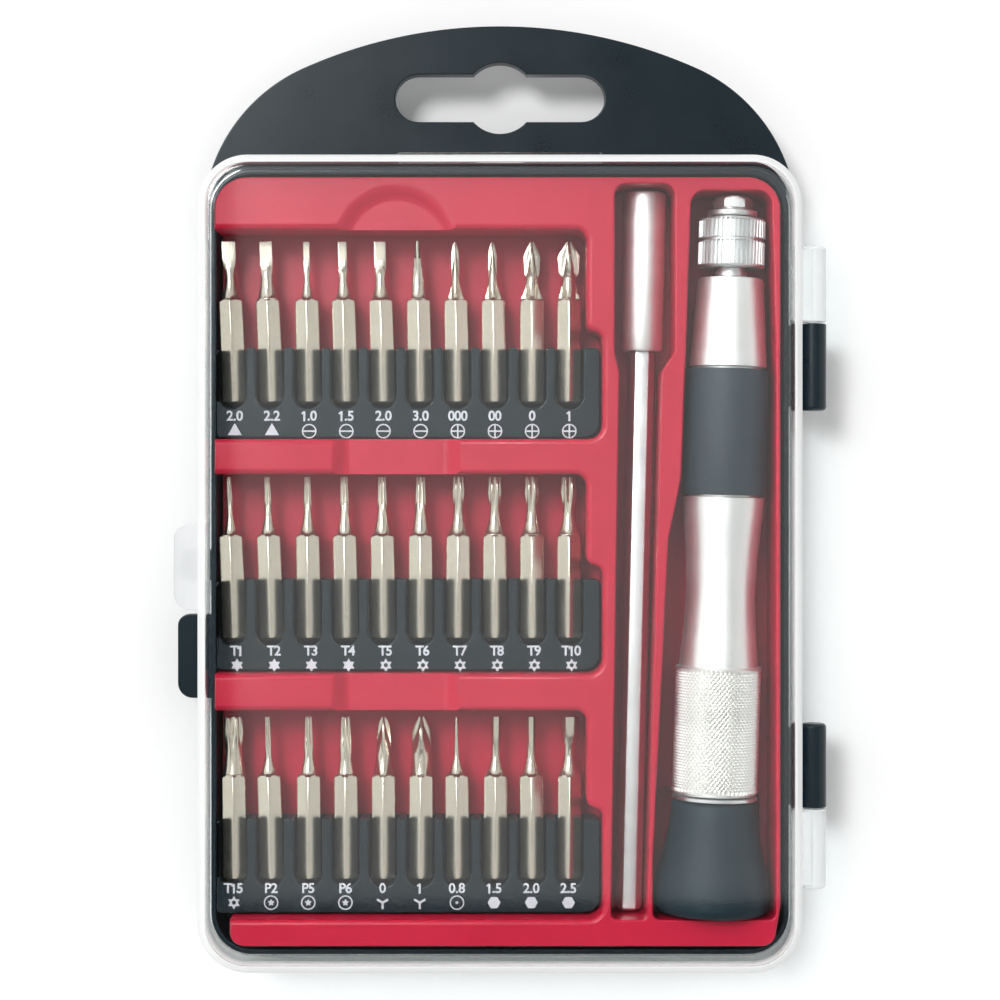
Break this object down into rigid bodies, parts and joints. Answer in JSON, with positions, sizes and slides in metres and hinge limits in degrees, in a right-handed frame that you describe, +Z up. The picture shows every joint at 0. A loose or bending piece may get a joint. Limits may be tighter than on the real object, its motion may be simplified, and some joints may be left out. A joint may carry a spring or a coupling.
{
  "type": "precision screwdriver set",
  "caption": "Precision screwdriver set: short hexagonal bits in three racks, a quick-release handle and an extension in a flat hinged case with a clear lid and a hanger.",
  "frame": {"origin": "middle of the case's underside, centred on the overall width and length", "axes": "+Z up out of the clear lid, +Y towards the hanger, +X towards the lid's hinge"},
  "size_m": [0.1126, 0.1618, 0.025],
  "materials": {
    "black_plastic": "fine moulded satin",
    "rack_plastic": "moulded satin",
    "clear_plastic": "clear polystyrene, polished",
    "red_sheet": "vacuum-formed sheet, satin",
    "satin_aluminium": "fine turned and blasted",
    "bright_steel": "plated",
    "nickel_steel": "satin nickel plate",
    "black_rubber": "matte",
    "marking_white": "pad print"
  },
  "bodies": {
    "case": {"base_shell": "black_plastic", "insert_tray": "red_sheet", "bit_rack_top": "rack_plastic", "bit_rack_middle": "rack_plastic", "bit_rack_bottom": "rack_plastic"},
    "lid": {"lid": "clear_plastic"},
    "handle": {"handle_barrel": "satin_aluminium", "grip_sleeve": "black_rubber", "chuck_spindle": "bright_steel", "detent_ball": "bright_steel", "sleeve_spring": "bright_steel", "chuck_ring": "bright_steel", "chuck_magnet": "bright_steel", "cap_washer": "bright_steel", "cap_screw": "bright_steel"},
    "lock_sleeve": {"lock_sleeve": "bright_steel"},
    "end_cap": {"end_cap": "black_plastic", "cap_plug": "black_plastic"},
    "extension": {"extension_shaft": "bright_steel", "extension_socket": "satin_aluminium", "extension_magnet": "bright_steel"},
    "bit_triangle_2_0": {"bit_triangle_2_0": "nickel_steel"},
    "bit_triangle_2_2": {"bit_triangle_2_2": "nickel_steel"},
    "bit_slotted_1_0": {"bit_slotted_1_0": "nickel_steel"},
    "bit_slotted_1_5": {"bit_slotted_1_5": "nickel_steel"},
    "bit_slotted_2_0": {"bit_slotted_2_0": "nickel_steel"},
    "bit_slotted_3_0": {"bit_slotted_3_0": "nickel_steel"},
    "bit_cross_000": {"bit_cross_000": "nickel_steel"},
    "bit_cross_00": {"bit_cross_00": "nickel_steel"},
    "bit_cross_0": {"bit_cross_0": "nickel_steel"},
    "bit_cross_1": {"bit_cross_1": "nickel_steel"},
    "bit_star_1": {"bit_star_1": "nickel_steel"},
    "bit_star_2": {"bit_star_2": "nickel_steel"},
    "bit_star_3": {"bit_star_3": "nickel_steel"},
    "bit_star_4": {"bit_star_4": "nickel_steel"},
    "bit_star_5": {"bit_star_5": "nickel_steel"},
    "bit_star_6": {"bit_star_6": "nickel_steel"},
    "bit_star_7": {"bit_star_7": "nickel_steel"},
    "bit_star_8": {"bit_star_8": "nickel_steel"},
    "bit_star_9": {"bit_star_9": "nickel_steel"},
    "bit_star_10": {"bit_star_10": "nickel_steel"},
    "bit_star_15": {"bit_star_15": "nickel_steel"},
    "bit_five_lobe_2": {"bit_five_lobe_2": "nickel_steel"},
    "bit_five_lobe_5": {"bit_five_lobe_5": "nickel_steel"},
    "bit_five_lobe_6": {"bit_five_lobe_6": "nickel_steel"},
    "bit_three_wing_0": {"bit_three_wing_0": "nickel_steel"},
    "bit_three_wing_1": {"bit_three_wing_1": "nickel_steel"},
    "bit_pin_0_8": {"bit_pin_0_8": "nickel_steel"},
    "bit_hex_1_5": {"bit_hex_1_5": "nickel_steel"},
    "bit_hex_2_0": {"bit_hex_2_0": "nickel_steel"},
    "bit_hex_2_5": {"bit_hex_2_5": "nickel_steel"}
  },
  "joints": [
    {"name": "lid_hinge", "type": "hinge", "parent": "case", "child": "lid", "pos_m": [0.05405, 0, 0.0113], "axis": [0, 1, 0], "range_deg": [0, 180]},
    {"name": "handle_lift", "type": "slide", "parent": "case", "child": "handle", "axis": [0, 0, 1], "range_m": [0, 0.0006]},
    {"name": "extension_lift", "type": "slide", "parent": "case", "child": "extension", "axis": [0, 0, 1], "range_m": [0, 0.0085]},
    {"name": "end_cap_spin", "type": "hinge", "parent": "handle", "child": "end_cap", "pos_m": [0.03649, -0.06191, 0.013], "axis": [0.0314, 0.9995, 0], "continuous": true},
    {"name": "lock_sleeve_pull", "type": "slide", "parent": "handle", "child": "lock_sleeve", "axis": [-0.0314, -0.9995, 0], "range_m": [0, 0.001], "stiffness_N_per_m": 600, "springref_m": -0.001},
    {"name": "triangle_2_0_lift", "type": "slide", "parent": "case", "child": "bit_triangle_2_0", "axis": [0, 0, 1], "range_m": [0, 0.009]},
    {"name": "triangle_2_2_lift", "type": "slide", "parent": "case", "child": "bit_triangle_2_2", "axis": [0, 0, 1], "range_m": [0, 0.009]},
    {"name": "slotted_1_0_lift", "type": "slide", "parent": "case", "child": "bit_slotted_1_0", "axis": [0, 0, 1], "range_m": [0, 0.009]},
    {"name": "slotted_1_5_lift", "type": "slide", "parent": "case", "child": "bit_slotted_1_5", "axis": [0, 0, 1], "range_m": [0, 0.009]},
    {"name": "slotted_2_0_lift", "type": "slide", "parent": "case", "child": "bit_slotted_2_0", "axis": [0, 0, 1], "range_m": [0, 0.009]},
    {"name": "slotted_3_0_lift", "type": "slide", "parent": "case", "child": "bit_slotted_3_0", "axis": [0, 0, 1], "range_m": [0, 0.009]},
    {"name": "cross_000_lift", "type": "slide", "parent": "case", "child": "bit_cross_000", "axis": [0, 0, 1], "range_m": [0, 0.009]},
    {"name": "cross_00_lift", "type": "slide", "parent": "case", "child": "bit_cross_00", "axis": [0, 0, 1], "range_m": [0, 0.009]},
    {"name": "cross_0_lift", "type": "slide", "parent": "case", "child": "bit_cross_0", "axis": [0, 0, 1], "range_m": [0, 0.009]},
    {"name": "cross_1_lift", "type": "slide", "parent": "case", "child": "bit_cross_1", "axis": [0, 0, 1], "range_m": [0, 0.009]},
    {"name": "star_1_lift", "type": "slide", "parent": "case", "child": "bit_star_1", "axis": [0, 0, 1], "range_m": [0, 0.009]},
    {"name": "star_2_lift", "type": "slide", "parent": "case", "child": "bit_star_2", "axis": [0, 0, 1], "range_m": [0, 0.009]},
    {"name": "star_3_lift", "type": "slide", "parent": "case", "child": "bit_star_3", "axis": [0, 0, 1], "range_m": [0, 0.009]},
    {"name": "star_4_lift", "type": "slide", "parent": "case", "child": "bit_star_4", "axis": [0, 0, 1], "range_m": [0, 0.009]},
    {"name": "star_5_lift", "type": "slide", "parent": "case", "child": "bit_star_5", "axis": [0, 0, 1], "range_m": [0, 0.009]},
    {"name": "star_6_lift", "type": "slide", "parent": "case", "child": "bit_star_6", "axis": [0, 0, 1], "range_m": [0, 0.009]},
    {"name": "star_7_lift", "type": "slide", "parent": "case", "child": "bit_star_7", "axis": [0, 0, 1], "range_m": [0, 0.009]},
    {"name": "star_8_lift", "type": "slide", "parent": "case", "child": "bit_star_8", "axis": [0, 0, 1], "range_m": [0, 0.009]},
    {"name": "star_9_lift", "type": "slide", "parent": "case", "child": "bit_star_9", "axis": [0, 0, 1], "range_m": [0, 0.009]},
    {"name": "star_10_lift", "type": "slide", "parent": "case", "child": "bit_star_10", "axis": [0, 0, 1], "range_m": [0, 0.009]},
    {"name": "star_15_lift", "type": "slide", "parent": "case", "child": "bit_star_15", "axis": [0, 0, 1], "range_m": [0, 0.009]},
    {"name": "five_lobe_2_lift", "type": "slide", "parent": "case", "child": "bit_five_lobe_2", "axis": [0, 0, 1], "range_m": [0, 0.009]},
    {"name": "five_lobe_5_lift", "type": "slide", "parent": "case", "child": "bit_five_lobe_5", "axis": [0, 0, 1], "range_m": [0, 0.009]},
    {"name": "five_lobe_6_lift", "type": "slide", "parent": "case", "child": "bit_five_lobe_6", "axis": [0, 0, 1], "range_m": [0, 0.009]},
    {"name": "three_wing_0_lift", "type": "slide", "parent": "case", "child": "bit_three_wing_0", "axis": [0, 0, 1], "range_m": [0, 0.009]},
    {"name": "three_wing_1_lift", "type": "slide", "parent": "case", "child": "bit_three_wing_1", "axis": [0, 0, 1], "range_m": [0, 0.009]},
    {"name": "pin_0_8_lift", "type": "slide", "parent": "case", "child": "bit_pin_0_8", "axis": [0, 0, 1], "range_m": [0, 0.009]},
    {"name": "hex_1_5_lift", "type": "slide", "parent": "case", "child": "bit_hex_1_5", "axis": [0, 0, 1], "range_m": [0, 0.009]},
    {"name": "hex_2_0_lift", "type": "slide", "parent": "case", "child": "bit_hex_2_0", "axis": [0, 0, 1], "range_m": [0, 0.009]},
    {"name": "hex_2_5_lift", "type": "slide", "parent": "case", "child": "bit_hex_2_5", "axis": [0, 0, 1], "range_m": [0, 0.009]}
  ]
}
